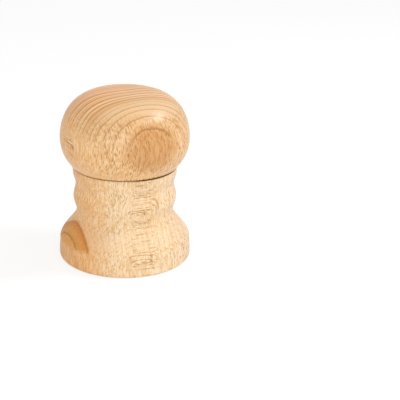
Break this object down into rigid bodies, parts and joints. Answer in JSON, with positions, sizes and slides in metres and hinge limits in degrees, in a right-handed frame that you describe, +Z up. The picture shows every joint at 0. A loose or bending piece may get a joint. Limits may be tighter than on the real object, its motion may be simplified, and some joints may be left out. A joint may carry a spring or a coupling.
{
  "type": "gingerbread mold",
  "caption": "Turned wooden bell that shapes gingerbread dough on a round wafer; turning its knob drives a steel bow that scrapes the dome free.",
  "frame": {"origin": "centre of the foot's rim, on the table", "axes": "+Z up along the turning axis, from the foot to the knob; +X along the scraper bow at rest"},
  "size_m": [0.085, 0.085, 0.109],
  "materials": {
    "beech": "satin, fine-sanded beech",
    "knob_beech": "satin, fine-sanded beech, a warmer tone",
    "stainless_steel": "satin stainless steel",
    "zinc_plate": "zinc-plated spring steel",
    "brass": "machined brass"
  },
  "bodies": {
    "mold": {"mold_body": "beech", "lower_thrust_washer": "stainless_steel", "upper_thrust_washer": "stainless_steel"},
    "rotor": {"knob": "knob_beech", "spindle": "stainless_steel", "scraper_bow": "stainless_steel", "lock_washer": "zinc_plate", "knob_insert": "brass"}
  },
  "joints": [
    {"name": "knob_turn", "type": "hinge", "parent": "mold", "child": "rotor", "pos_m": [0, 0, 0], "axis": [0, 0, 1], "continuous": true}
  ]
}
